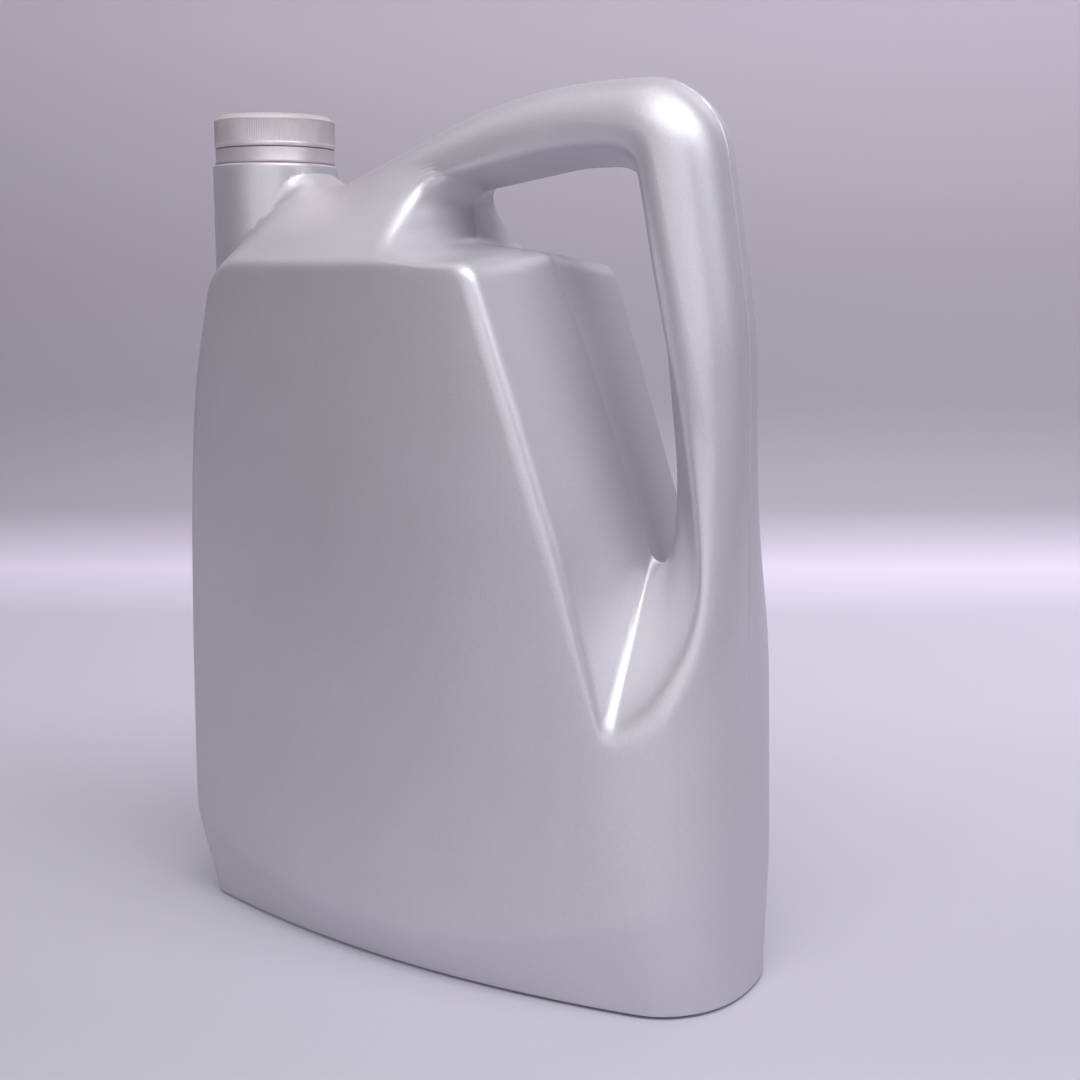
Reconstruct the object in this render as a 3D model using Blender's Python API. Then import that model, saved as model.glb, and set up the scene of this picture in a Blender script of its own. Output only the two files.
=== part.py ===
"""Blow-moulded motor oil bottle of about four litres, with a through handle and a screw cap.

Units are metres. X runs along the bottle's length, from the neck (-X) to the handle (+X),
Y is its depth, with the parting plane of the two mould halves at Y = 0, and Z is up.
The origin is on the standing surface, under the middle of the bottle.

Both mould halves are one function: half_depth(x, z) says how far the plastic reaches from
the parting plane. Four closed guide curves, drawn in the parting plane, carry the mesh: the
hole of the handle, the rim of the pocket round it, a belt, and the outline.
"""

import math

import bmesh
import bpy
import numpy as np
from mathutils import Matrix, Vector

MM = 0.001

# Body
LENGTH = 236.0 * MM            # left end to handle end
HEIGHT = 317.5 * MM            # crest of the handle
PANEL_HALF_DEPTH = 52.0 * MM   # from the parting plane to the panel, at the middle of its bow
BOW_RADIUS = 431.0 * MM        # the panels are bowed along the length
BOW_X = 10.0 * MM
PANEL_TOP = 0.8063 * HEIGHT    # edge between panel and shoulder
SHOULDER_SLOPE = 1.05          # depth lost for each unit of rise above that edge
END_CREASE_X = 0.816 * LENGTH / 2      # crease between panel and handle end, at the floor
END_CREASE_LEAN = 0.16
END_SLOPE = 0.17
WALL = 1.4 * MM

# Foot
FOOT_INSET = 5.9 * MM          # how much the chamfer narrows each half at the floor
CHAMFER_RISE = 16.0 * MM       # lowest point of the chamfer's upper edge
CHAMFER_RADIUS = 278.0 * MM    # that edge is an arc of this radius
CHAMFER_X = -10.0 * MM
FOOT_EDGE = 1.5 * MM           # rounding between chamfer and standing ring
RING_WIDTH = 6.0 * MM
PUSH_UP = 3.0 * MM

# Handle
GRIP_HALF_DEPTH = 20.0 * MM
FLARE_LOW = 0.27 * HEIGHT      # the grip swells into the body between these two heights
FLARE_HIGH = 0.615 * HEIGHT

# Neck: a wide column, and on it the narrower finish that carries bead, thread and lip
COLUMN_RADIUS = 24.3 * MM
COLUMN_TOP = HEIGHT - 23.3 * MM
COLUMN_FOOT = COLUMN_TOP - 68.0 * MM   # the column starts inside the body
NECK_X = -(LENGTH / 2 - COLUMN_RADIUS - 1.6 * MM)
BORE_RADIUS = 17.2 * MM
FINISH_WALL = 2.0 * MM
FINISH_RADIUS = BORE_RADIUS + FINISH_WALL
BEAD_HEIGHT = 1.3 * MM         # ring on the finish that holds the band back

# Thread, right-handed
PITCH = 4.0 * MM
THREAD_HEIGHT = 1.3 * MM
THREAD_TURNS = 1.25
THREAD_PHASE = math.radians(1.7)   # keeps the ridge's corners off those of the neck
THREAD_CLEARANCE = 0.35 * MM   # radial, between a crest and the opposite wall

# Closure
SEAT_GAP = 0.35 * MM           # between pieces that would otherwise touch
BAND_HEIGHT = 5.5 * MM
BAND_WALL = 2.0 * MM
CAP_WALL = 2.55 * MM
CAP_HEIGHT = 12.4 * MM
CAP_TOP_WALL = 1.5 * MM
CAP_CHAMFER = 2.0 * MM
KNURLS = 56
KNURL_DEPTH = 0.35 * MM
LINER_THICKNESS = 1.0 * MM

CAP_INNER = FINISH_RADIUS + THREAD_HEIGHT + THREAD_CLEARANCE
CAP_RADIUS = CAP_INNER + CAP_WALL
BAND_RADIUS = CAP_RADIUS - 0.1 * MM
BAND_FOOT = COLUMN_TOP + SEAT_GAP
CAP_FOOT = BAND_FOOT + BAND_HEIGHT + SEAT_GAP
CAP_CEILING = CAP_FOOT + CAP_HEIGHT - CAP_TOP_WALL
LINER_TOP = CAP_CEILING - SEAT_GAP
LIP_TOP = LINER_TOP - LINER_THICKNESS - SEAT_GAP
THREAD_START = CAP_FOOT + 2.2 * MM

# The guide curves are drawn for a bottle of 236 by 317.5 mm and stretched to its size.
STRETCH = np.array([LENGTH / (236.0 * MM), HEIGHT / (317.5 * MM)])
TOP = PANEL_TOP / MM / STRETCH[1]
FOOT = FOOT_EDGE / MM / STRETCH[1]

# A guide curve is a closed polygon with rounded corners, (x, z, radius) in millimetres.
# Each of its stations lies near the curve, and spokes join stations of the same number.
HOLE = dict(
    corners=[(86.0, 129.4, 6), (86.6, 186, 90), (78.0, 262, 90), (74.0, 288.2, 9),
             (50.0, 288.3, 70), (4.0, 281.3, 7), (3.0, 263.3, 4), (34.5, 259.8, 7),
             (51.0, 223.5, 200)],
    stations=[(79.0, 157), (86.0, 168), (86.5, 186), (81.0, 235), (72, 286), (48, 288),
              (5, 279), (5, 264.5), (36, 257.5), (60.0, 199),
              (62.5, 192)])
RIM = dict(
    corners=[(83.0, 99.5, 4), (94.0, 102.3, 20), (108.9, 122.5, 22), (108.2, 152, 60), (101.0, 188, 100),
             (83.5, 258, 90), (76.5, 295.0, 10), (46.0, 296.0, 110), (-8.0, 284.5, 13),
             (-5.0, TOP, 13), (34.0, TOP, 9), (66.5, 160, 250)],
    stations=[(84.5, 101), (103.0, 114.0), (108.5, 146), (97, 203), (73, 294), (45, 296),
              (-5.5, 282), (6.0, TOP), (33, 254), (62.5, 172),
              (66.0, 162)])
BELT = dict(
    corners=[(-10.0, -2.0, 278), (92.0, 35.5, 10), (112.0, 62, 18), (113.2, 150, 90),
             (110.6, 200, 90), (86.5, 304.5, 14), (43.0, 305.0, 120), (-50.0, 283.5, 25),
             (-80.0, 258, 12), (-100.0, 230, 30), (-108.0, 140, 90), (-106.5, 32, 8)],
    stations=[(91.0, 37), (107.5, 56), (113.2, 146), (109.5, 203), (83, 302), (43, 303),
              (-50, 282), (-80, 256), (-107.0, 140), (-105.5, 37),
              (-98, 28)])
OUTLINE = dict(
    corners=[(118.0, FOOT, 0), (115.2, 150, 500), (113.3, 232, 160), (99.8, 317.5, 31),
             (27.5, 317.5, 320), (-57.0, 284.6, 10), (-72, 290, 6), (-101, 287, 12),
             (-117.2, 232, 25), (-117.4, 140, 90), (-118.2, 38, 60), (-110.5, FOOT, 0)],
    stations=[(93.0, FOOT), (118.0, FOOT), (115.4, 146), (114, 203), (94, 311), (40, 315.5),
              (-57, 285.6), (-116, 239), (-117.2, 140), (-110.5, FOOT),
              (-100, FOOT)])

# Tangent length of the rounding at the pocket's rim, by station, and mesh counts.
RIM_ROUNDING = np.array([4.0, 7.0, 10.0, 13.0, 9.0, 7.0, 7.0, 6.0, 3.5, 3.5, 3.5]) * MM
FOOT_CORNER = OUTLINE["stations"].index((-110.5, FOOT))   # foot corner at the neck's end
SPOKES = (5, 5, 4, 9, 4, 6, 6, 5, 6, 3, 6)
WALL_RINGS = 3
RIM_RINGS = 3
PANEL_RINGS = 6
SIDE_RINGS = 7
ROOM_RINGS = (3, 2, 3, 6)       # the same counts, for the room inside


def smooth_step(t):
    t = np.clip(t, 0.0, 1.0)
    return t * t * (3.0 - 2.0 * t)


def smooth_min(a, b, reach):
    h = np.clip(reach - np.abs(a - b), 0.0, None) / reach
    return np.minimum(a, b) - h * h * reach / 4.0


def smooth_max(a, b, reach):
    return -smooth_min(-a, -b, reach)


def rounded_polygon(corners, step=1.0 * MM):
    """Closed polyline of a polygon whose corners are rounded."""
    pts = np.array([(x, z) for x, z, _ in corners]) * MM * STRETCH
    line = []
    for i, (_, _, radius) in enumerate(corners):
        here = pts[i]
        a = pts[i - 1] - here
        b = pts[(i + 1) % len(pts)] - here
        a_len, b_len = np.linalg.norm(a), np.linalg.norm(b)
        a, b = a / a_len, b / b_len
        half = math.acos(float(np.clip(a @ b, -1.0, 1.0))) / 2.0
        r = radius * MM
        if r == 0.0 or half > math.pi / 2 - 1e-4:
            line.append(here)
            continue
        cut = min(r / math.tan(half), 0.49 * a_len, 0.49 * b_len)
        r = cut * math.tan(half)
        middle = (a + b) / np.linalg.norm(a + b)
        centre = here + middle * (r / math.sin(half))
        start, end = here + a * cut, here + b * cut
        u, v = start - centre, end - centre
        sweep = math.atan2(u[0] * v[1] - u[1] * v[0], u @ v)
        count = max(3, int(abs(sweep) * r / step))
        for k in range(count + 1):
            t = sweep * k / count
            c, s = math.cos(t), math.sin(t)
            line.append(centre + np.array((c * u[0] - s * u[1], s * u[0] + c * u[1])))
    return np.array(line)


def arc_lengths(line):
    closed = np.vstack([line, line[:1]])
    return closed, np.concatenate([[0.0], np.cumsum(np.linalg.norm(np.diff(closed, axis=0), axis=1))])


def at_length(closed, lengths, s):
    s = np.mod(s, lengths[-1])
    return np.stack([np.interp(s, lengths, closed[:, k]) for k in (0, 1)], axis=-1)


def station_lengths(closed, lengths, stations):
    fine = np.linspace(0.0, lengths[-1], 6000, endpoint=False)
    pts = at_length(closed, lengths, fine)
    found = []
    for place in np.array(stations) * MM * STRETCH:
        gap = np.hypot(*(pts - place).T)
        s = fine[int(np.argmin(gap))]
        corner = lengths[int(np.argmin(np.abs(lengths - s)))]
        if abs(corner - s) < 0.2 * MM:
            s = corner
        while found and s < found[-1] - 1e-9:
            s += lengths[-1]
        found.append(s)
    return found


def sample_guide(guide, spokes):
    """Points of a guide curve, spoke by spoke, closer together near the stations."""
    closed, lengths = arc_lengths(rounded_polygon(guide["corners"]))
    marks = station_lengths(closed, lengths, guide["stations"])
    marks.append(marks[0] + lengths[-1])
    s = []
    for start, stop, count in zip(marks[:-1], marks[1:], spokes):
        u = np.arange(count) / count
        eased = u - 0.6 * np.sin(2.0 * math.pi * u) / (2.0 * math.pi)
        s.extend(start + (stop - start) * eased)
    return at_length(closed, lengths, np.array(s))


def per_spoke(values, spokes):
    """A value for every spoke, from one value per station."""
    out = []
    for k, count in enumerate(spokes):
        u = np.arange(count) / count
        out.extend(values[k] + (values[(k + 1) % len(values)] - values[k]) * u)
    return np.array(out)


def outline_gap(x, z):
    """Distance to the outline without its bottom edge."""
    line = rounded_polygon(OUTLINE["corners"], 2.0 * MM)
    a, b = line[:-1], line[1:]
    d = b - a
    px = np.stack([np.ravel(x), np.ravel(z)], axis=-1)[:, None, :]
    t = np.clip(((px - a) * d).sum(-1) / (d * d).sum(-1), 0.0, 1.0)
    gap = np.linalg.norm(px - a - t[..., None] * d, axis=-1).min(axis=1)
    return gap.reshape(np.shape(x))


def panel_depth(x):
    return PANEL_HALF_DEPTH - (x - BOW_X) ** 2 / (2.0 * BOW_RADIUS)


def half_depth(x, z):
    """Distance from the parting plane to the outside of the bottle."""
    panel = panel_depth(x)
    # Beyond this soft crease the panel turns towards the end of the bottle.
    crease = END_CREASE_X - END_CREASE_LEAN * z
    panel = smooth_min(panel, panel - END_SLOPE * (x - crease), 1.0 * MM)
    flare = smooth_step((FLARE_HIGH - z) / (FLARE_HIGH - FLARE_LOW))
    grip = GRIP_HALF_DEPTH + (panel + 6.0 * MM - GRIP_HALF_DEPTH) * flare
    # The grip is everything beyond a bent line that runs through the handle's hole.
    px, pz = x / STRETCH[0] / MM, z / STRETCH[1] / MM
    beyond = MM * np.maximum((pz - 290.0 + 0.66 * (px + 6.5)) * 0.835,
                             (pz - 262.0 + 2.64 * (px - 36.0)) * 0.354)
    rise = np.clip(z - PANEL_TOP, -20.0 * MM, None)
    front = panel - SHOULDER_SLOPE * rise - 3.0 * np.clip(beyond, 0.0, None)
    left = 15.6 * MM + (PANEL_TOP - 6.0 * MM + 0.72 * (x + LENGTH / 2 - 2.0 * MM) - z) / 0.65
    core = smooth_max(grip, front, 6.0 * MM)
    core = smooth_min(core, panel, 3.0 * MM)
    core = smooth_min(core, left, 5.0 * MM)
    core = np.maximum(core, 10.0 * MM)

    # Rounding towards the outline: a superellipse of this width and power.
    right = smooth_step((x + 60.0 * MM) / (80.0 * MM))
    slim = smooth_step((z - FLARE_LOW) / (FLARE_HIGH - FLARE_LOW))
    foot = smooth_step(z / (55.0 * MM))
    width_right = 24.0 * MM - 9.0 * MM * slim
    power_right = 2.6 + 0.3 * foot
    climb = np.clip((z - 40.0 * MM) / (PANEL_TOP - 66.0 * MM), 0.0, 1.0)
    width_left = 6.0 * MM + 10.0 * MM * climb ** 2 + 8.0 * MM * climb ** 6
    power_left = 3.0 - 0.5 * climb - 0.7 * climb ** 4
    crest = smooth_step((z - PANEL_TOP - 6.0 * MM) / (30.0 * MM))
    width = width_left + (width_right - width_left) * right
    width = width + (17.0 * MM - width) * crest
    power = power_left + (power_right - power_left) * right
    power = power + (2.2 - power) * crest
    u = np.clip(outline_gap(x, z) / width, 0.0, 1.0)
    depth = core * (1.0 - (1.0 - u) ** power) ** (1.0 / power)

    # The chamfer of the foot narrows the section by a share of its depth.
    edge = CHAMFER_RISE + (x - CHAMFER_X) ** 2 / (2.0 * CHAMFER_RADIUS)
    share = FOOT_INSET / panel
    below = smooth_max(1.0 - z / edge, np.zeros_like(edge), 0.05)
    return depth * (1.0 - share * below)


def half_shell(spokes, wall_rings, rim_rings, panel_rings, side_rings):
    """Rings of points of one mould half, from the handle's hole out to the outline."""
    hole, rim = sample_guide(HOLE, spokes), sample_guide(RIM, spokes)
    belt, edge = sample_guide(BELT, spokes), sample_guide(OUTLINE, spokes)
    rounding = per_spoke(RIM_ROUNDING, spokes)

    def on_surface(flat):
        return np.column_stack([flat[:, 0], half_depth(flat[:, 0], flat[:, 1]), flat[:, 1]])

    root = np.column_stack([hole[:, 0], np.zeros(len(hole)), hole[:, 1]])
    corner = on_surface(rim)
    inward = root - corner
    inward_len = np.linalg.norm(inward, axis=1)
    cut = np.minimum(rounding, 0.6 * inward_len)
    start = corner + inward * (cut / inward_len)[:, None]
    out = belt - rim
    out_len = np.linalg.norm(out, axis=1)
    cut = np.minimum(rounding, 0.7 * out_len)
    landing = rim + out * (cut / out_len)[:, None]
    end = on_surface(landing)
    rings = [root + (start - root) * (k / wall_rings) for k in range(wall_rings)]
    for k in range(rim_rings + 1):
        t = k / rim_rings
        rings.append(start * (1 - t) ** 2 + corner * (2 * t * (1 - t)) + end * t * t)
    # Rings crowd towards the belt, which runs along the chamfer's upper edge.
    for k in range(1, panel_rings + 1):
        t = 1.0 - (1.0 - k / panel_rings) ** 1.7
        rings.append(on_surface(landing + (belt - landing) * t))
    # Beyond it they crowd towards the parting plane, where the section turns.
    floor = np.abs(edge[:, 1] - FOOT_EDGE) < 1e-6
    crowding = np.where(floor, 1.2, 1.8)
    for k in range(1, side_rings + 1):
        t = 1.0 - (1.0 - k / side_rings) ** crowding
        rings.append(on_surface(belt + (edge - belt) * t[:, None]))
    rings[-1][~floor, 1] = 0.0
    rings[-1][rings[-1][:, 1] < 0.1 * MM, 1] = 0.0
    return rings


def facing_out(bm):
    bmesh.ops.recalc_face_normals(bm, faces=bm.faces)
    if bm.calc_volume(signed=True) < 0.0:
        bmesh.ops.reverse_faces(bm, faces=bm.faces)
    return bm


def closed_body(spokes, wall_rings, rim_rings, panel_rings, side_rings, base_steps):
    """Both mould halves and the base, as a bmesh."""
    rings = half_shell(spokes, wall_rings, rim_rings, panel_rings, side_rings)
    bm = bmesh.new()
    count = len(rings[0])
    sides = {}
    for sign in (-1, 1):
        grid = []
        for ring in rings:
            row = []
            for x, y, z in ring:
                if y == 0.0 and sign == 1:
                    row.append(sides[-1][len(grid)][len(row)])
                else:
                    row.append(bm.verts.new((x, sign * y, z)))
            grid.append(row)
        sides[sign] = grid
        for a, b in zip(grid[:-1], grid[1:]):
            for i in range(count):
                j = (i + 1) % count
                quad = [a[i], a[j], b[j], b[i]]
                bm.faces.new(quad if sign == 1 else quad[::-1])
    # The base: its edge runs from the left foot corner to the right one on each side.
    order = list(range(sum(spokes[:FOOT_CORNER]), count)) + list(range(spokes[0] + 1))
    front = [sides[-1][-1][i] for i in order]
    back = [sides[1][-1][i] for i in order]
    previous = front + back[-2:0:-1]
    flat = np.array([(v.co.x, v.co.y) for v in previous])
    middle = (flat.max(axis=0) + flat.min(axis=0)) / 2.0
    half_size = (flat.max(axis=0) - flat.min(axis=0)) / 2.0
    for inset, z in base_steps:
        shrunk = middle + (flat - middle) * (1.0 - inset / half_size)
        ring = [bm.verts.new((x, y, z)) for x, y in shrunk]
        for i in range(len(ring)):
            j = (i + 1) % len(ring)
            bm.faces.new((previous[i], previous[j], ring[j], ring[i]))
        previous = ring
    half = len(front)
    near = previous[:half]
    far = [previous[0]] + previous[:half - 1:-1] + [previous[half - 1]]
    for i in range(half - 1):
        face = [near[i], near[i + 1], far[i + 1], far[i]]
        bm.faces.new([v for k, v in enumerate(face) if v not in face[:k]])
    return facing_out(bm)


def material(name, colour, roughness, metallic):
    mat = bpy.data.materials.new(name)
    mat.use_nodes = True
    shader = mat.node_tree.nodes["Principled BSDF"]
    shader.inputs["Base Color"].default_value = (*colour, 1.0)
    shader.inputs["Roughness"].default_value = roughness
    shader.inputs["Metallic"].default_value = metallic
    return mat


def add_object(name, bm, mat):
    mesh = bpy.data.meshes.new(name)
    bm.to_mesh(mesh)
    bm.free()
    mesh.materials.append(mat)
    obj = bpy.data.objects.new(name, mesh)
    bpy.context.scene.collection.objects.link(obj)
    return obj


def combine(target, other, operation):
    """Exact Boolean of two objects; the second one is used up."""
    modifier = target.modifiers.new(operation, "BOOLEAN")
    modifier.operation = operation
    modifier.solver = "EXACT"
    modifier.object = other
    evaluated = target.evaluated_get(bpy.context.evaluated_depsgraph_get())
    mesh = bpy.data.meshes.new_from_object(evaluated)
    target.modifiers.clear()
    target.data = mesh
    bpy.data.objects.remove(other)


def revolve(profile, segments, knurled=(), turned=0.0):
    """Profile of (radius, z) turned about the neck's axis; a radius of 0 makes a pole.

    Points of the profile named in knurled are drawn in on every second segment. The corners
    start at a share, turned, of one segment.
    """
    bm = bmesh.new()
    rings = []
    for k, (radius, z) in enumerate(profile):
        if radius == 0.0:
            rings.append([bm.verts.new((NECK_X, 0.0, z))])
            continue
        ring = []
        for i in range(segments):
            angle = 2.0 * math.pi * (i + turned) / segments
            r = radius - (KNURL_DEPTH * (i % 2) if k in knurled else 0.0)
            ring.append(bm.verts.new((NECK_X + r * math.cos(angle), r * math.sin(angle), z)))
        rings.append(ring)
    pairs = list(zip(rings[:-1], rings[1:]))
    if len(rings[0]) > 1:
        pairs.append((rings[-1], rings[0]))
    for a, b in pairs:
        for i in range(segments):
            j = (i + 1) % segments
            face = [a[i % len(a)], a[j % len(a)], b[j % len(b)], b[i % len(b)]]
            bm.faces.new([v for k, v in enumerate(face) if v not in face[:k]])
    return facing_out(bm)


def thread_ridge(root, crest, z_start, turns, per_turn=32):
    """Right-handed helical ridge whose ends fade out; root is sunk into the wall."""
    bm = bmesh.new()
    steps = int(per_turn * turns)
    rings = []
    for k in range(steps + 1):
        t = k / steps
        fade = smooth_step(min(t, 1.0 - t) * turns * 5.0)
        angle = THREAD_PHASE + 2.0 * math.pi * turns * t
        z = z_start + PITCH * turns * t
        tip = root + (crest - root) * (0.45 + 0.55 * float(fade))
        ring = []
        for radius, dz in ((root, -0.9 * MM), (tip, -0.4 * MM), (tip, 0.4 * MM), (root, 0.9 * MM)):
            x, y = radius * math.cos(angle), radius * math.sin(angle)
            ring.append(bm.verts.new((NECK_X + x, y, z + dz)))
        rings.append(ring)
    for a, b in zip(rings[:-1], rings[1:]):
        for i in range(4):
            j = (i + 1) % 4
            bm.faces.new((a[i], a[j], b[j], b[i]))
    bm.faces.new(rings[0])
    bm.faces.new(rings[-1][::-1])
    return facing_out(bm)


def build_bottle(plastic):
    ring = FOOT_EDGE + RING_WIDTH
    steps = ((0.45 * FOOT_EDGE, 0.3 * FOOT_EDGE), (FOOT_EDGE, 0.0), (ring, 0.0),
             (ring + PUSH_UP, PUSH_UP))
    body = add_object("bottle_body", closed_body(SPOKES, WALL_RINGS, RIM_RINGS, PANEL_RINGS,
                                                 SIDE_RINGS, steps), plastic)
    bead = FINISH_RADIUS + BEAD_HEIGHT
    bead_top = BAND_FOOT + BAND_HEIGHT + 0.6 * MM
    neck = revolve([
        (0.0, COLUMN_FOOT), (COLUMN_RADIUS, COLUMN_FOOT), (COLUMN_RADIUS, COLUMN_TOP - 0.8 * MM),
        (COLUMN_RADIUS - 0.8 * MM, COLUMN_TOP), (FINISH_RADIUS, COLUMN_TOP),
        (FINISH_RADIUS, bead_top - 3.2 * MM), (bead, bead_top - 2.4 * MM), (bead, bead_top - 1.6 * MM),
        (FINISH_RADIUS, bead_top), (FINISH_RADIUS, LIP_TOP - 0.4 * MM),
        (FINISH_RADIUS - 0.4 * MM, LIP_TOP), (0.0, LIP_TOP)], 72)
    combine(body, add_object("neck", neck, plastic), "UNION")
    ridge = thread_ridge(FINISH_RADIUS - 0.4 * MM, FINISH_RADIUS + THREAD_HEIGHT,
                         THREAD_START, THREAD_TURNS)
    combine(body, add_object("ridge", ridge, plastic), "UNION")

    # The room inside is the same form with fewer points, moved in by the wall.
    room = closed_body(SPOKES, *ROOM_RINGS, ((ring + PUSH_UP, PUSH_UP),))
    room.normal_update()
    moves = [v.normal * (-WALL * v.calc_shell_factor()) for v in room.verts]
    for v, move in zip(room.verts, moves):
        v.co += move
    room = add_object("room", room, plastic)
    inside = COLUMN_RADIUS - WALL
    bore = revolve([
        (0.0, COLUMN_FOOT - 2.0 * MM), (inside, COLUMN_FOOT - 2.0 * MM),
        (inside, COLUMN_TOP - WALL - 1.5 * MM), (BORE_RADIUS, COLUMN_TOP - WALL),
        (BORE_RADIUS, LIP_TOP + 5.0 * MM), (0.0, LIP_TOP + 5.0 * MM)], 48, turned=1.0 / 6.0)
    combine(room, add_object("bore", bore, plastic), "UNION")
    combine(body, room, "DIFFERENCE")
    return body


def build_band(plastic):
    z = BAND_FOOT
    top = z + BAND_HEIGHT
    inner = BAND_RADIUS - BAND_WALL
    ledge = FINISH_RADIUS + SEAT_GAP
    band = revolve([
        (ledge, z), (BAND_RADIUS - 0.5 * MM, z), (BAND_RADIUS, z + 0.5 * MM),
        (BAND_RADIUS, top - 0.4 * MM), (BAND_RADIUS - 0.4 * MM, top), (inner, top),
        (inner, z + 2.2 * MM), (ledge, z + 1.4 * MM)], 72)
    return add_object("tamper_band", band, plastic)


def build_cap(plastic):
    z = CAP_FOOT
    top = z + CAP_HEIGHT
    knurl_top = top - CAP_CHAMFER - 0.5 * MM
    profile = [
        (0.0, top), (CAP_RADIUS - CAP_CHAMFER, top), (CAP_RADIUS - 0.2 * MM, knurl_top + 0.5 * MM),
        (CAP_RADIUS, knurl_top), (CAP_RADIUS, z + 1.6 * MM), (CAP_RADIUS, z + 1.2 * MM),
        (CAP_RADIUS, z + 0.5 * MM), (CAP_RADIUS - 0.5 * MM, z), (CAP_INNER, z),
        (CAP_INNER, CAP_CEILING), (0.0, CAP_CEILING)]
    cap = add_object("cap", revolve(profile, 2 * KNURLS, knurled=(3, 4)), plastic)
    ridge = thread_ridge(CAP_INNER + 0.4 * MM, CAP_INNER - THREAD_HEIGHT,
                         THREAD_START + PITCH / 2.0, THREAD_TURNS - 0.25)
    combine(cap, add_object("cap_ridge", ridge, plastic), "UNION")
    radius = CAP_INNER - SEAT_GAP
    liner = revolve([(0.0, LINER_TOP), (radius, LINER_TOP), (radius, LINER_TOP - LINER_THICKNESS),
                     (0.0, LINER_TOP - LINER_THICKNESS)], 64)
    return cap, liner


for old in list(bpy.data.objects):
    bpy.data.objects.remove(old, do_unlink=True)

build_bottle(material("silver_plastic", (0.42, 0.43, 0.45), 0.38, 0.7))
build_band(material("band_plastic", (0.50, 0.48, 0.46), 0.35, 0.6))
_, liner = build_cap(material("cap_plastic", (0.47, 0.46, 0.45), 0.4, 0.6))
add_object("cap_liner", liner, material("foam_liner", (0.85, 0.85, 0.82), 0.8, 0.0))

# Turning pieces have their origin on the axis of the neck.
for name in ("cap", "tamper_band", "cap_liner"):
    obj = bpy.data.objects[name]
    axis = Vector((NECK_X, 0.0, COLUMN_TOP))
    obj.data.transform(Matrix.Translation(-axis))
    obj.location = axis
for obj in bpy.data.objects:
    obj.data.shade_smooth()
    obj.data.set_sharp_from_angle(angle=math.radians(32.0))
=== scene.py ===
"""Looks of the motor oil bottle: fine meshes, materials, backdrop, lamps and camera.

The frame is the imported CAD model. The body, the cap and the tamper band are replaced by finer
meshes of the same form, which ride on the same bodies; the liner keeps its CAD mesh.
"""

import math

import bmesh
import bpy
import numpy as np
from mathutils import Matrix, Vector


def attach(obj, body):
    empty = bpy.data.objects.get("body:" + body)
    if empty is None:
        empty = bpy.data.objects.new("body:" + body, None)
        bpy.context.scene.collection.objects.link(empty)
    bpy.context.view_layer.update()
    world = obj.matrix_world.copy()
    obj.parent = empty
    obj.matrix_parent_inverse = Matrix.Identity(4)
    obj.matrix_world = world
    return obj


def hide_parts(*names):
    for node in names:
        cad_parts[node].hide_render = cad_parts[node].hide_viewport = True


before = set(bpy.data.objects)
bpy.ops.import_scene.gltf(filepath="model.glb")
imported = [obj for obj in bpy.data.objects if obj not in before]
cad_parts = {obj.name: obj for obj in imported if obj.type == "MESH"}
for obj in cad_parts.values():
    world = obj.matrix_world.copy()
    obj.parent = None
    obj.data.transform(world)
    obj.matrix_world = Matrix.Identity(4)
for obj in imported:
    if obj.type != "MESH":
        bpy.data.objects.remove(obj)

MM = 0.001

# Body
LENGTH = 236.0 * MM            # left end to handle end
HEIGHT = 317.5 * MM            # crest of the handle
PANEL_HALF_DEPTH = 52.0 * MM   # from the parting plane to the panel, at the middle of its bow
BOW_RADIUS = 431.0 * MM        # the panels are bowed along the length
BOW_X = 10.0 * MM
PANEL_TOP = 0.8063 * HEIGHT    # edge between panel and shoulder
SHOULDER_SLOPE = 1.05          # depth lost for each unit of rise above that edge
END_CREASE_X = 0.816 * LENGTH / 2      # crease between panel and handle end, at the floor
END_CREASE_LEAN = 0.16
END_SLOPE = 0.17
WALL = 1.4 * MM

# Foot
FOOT_INSET = 5.9 * MM          # how much the chamfer narrows each half at the floor
CHAMFER_RISE = 16.0 * MM       # lowest point of the chamfer's upper edge
CHAMFER_RADIUS = 278.0 * MM    # that edge is an arc of this radius
CHAMFER_X = -10.0 * MM
FOOT_EDGE = 1.5 * MM           # rounding between chamfer and standing ring
RING_WIDTH = 6.0 * MM
PUSH_UP = 3.0 * MM

# Handle
GRIP_HALF_DEPTH = 20.0 * MM
FLARE_LOW = 0.27 * HEIGHT      # the grip swells into the body between these two heights
FLARE_HIGH = 0.615 * HEIGHT
FLARE_EXCESS = 6.0 * MM        # it aims this far past the panel, which then cuts it off
GRIP_FALL = 3.0                # depth the front loses for each unit beyond the grip's line
# That line is bent: (x, z) of a point on each leg in millimetres, its fall per unit of x,
# and the factor that turns a height above it into a distance from it.
GRIP_LINE = ((-6.5, 290.0, 0.66, 0.835), (36.0, 262.0, 2.64, 0.354))
MIN_HALF_DEPTH = 10.0 * MM

# Neck's end of the body: a slanted plane trims it, and a web joins it to the column
TRIM_HALF_DEPTH = 15.6 * MM
TRIM_BELOW = 6.0 * MM          # the trim's height at the left end, below the panel's top
TRIM_INSET = 2.0 * MM
TRIM_CLIMB = 0.72
TRIM_SLOPE = 0.65
WEB_HALF_DEPTH = 17.0 * MM
WEB_RIGHT, WEB_RIGHT_FADE = -58.0 * MM, 8.0 * MM
WEB_LEFT, WEB_LEFT_FADE = -106.0 * MM, 12.0 * MM

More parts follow.
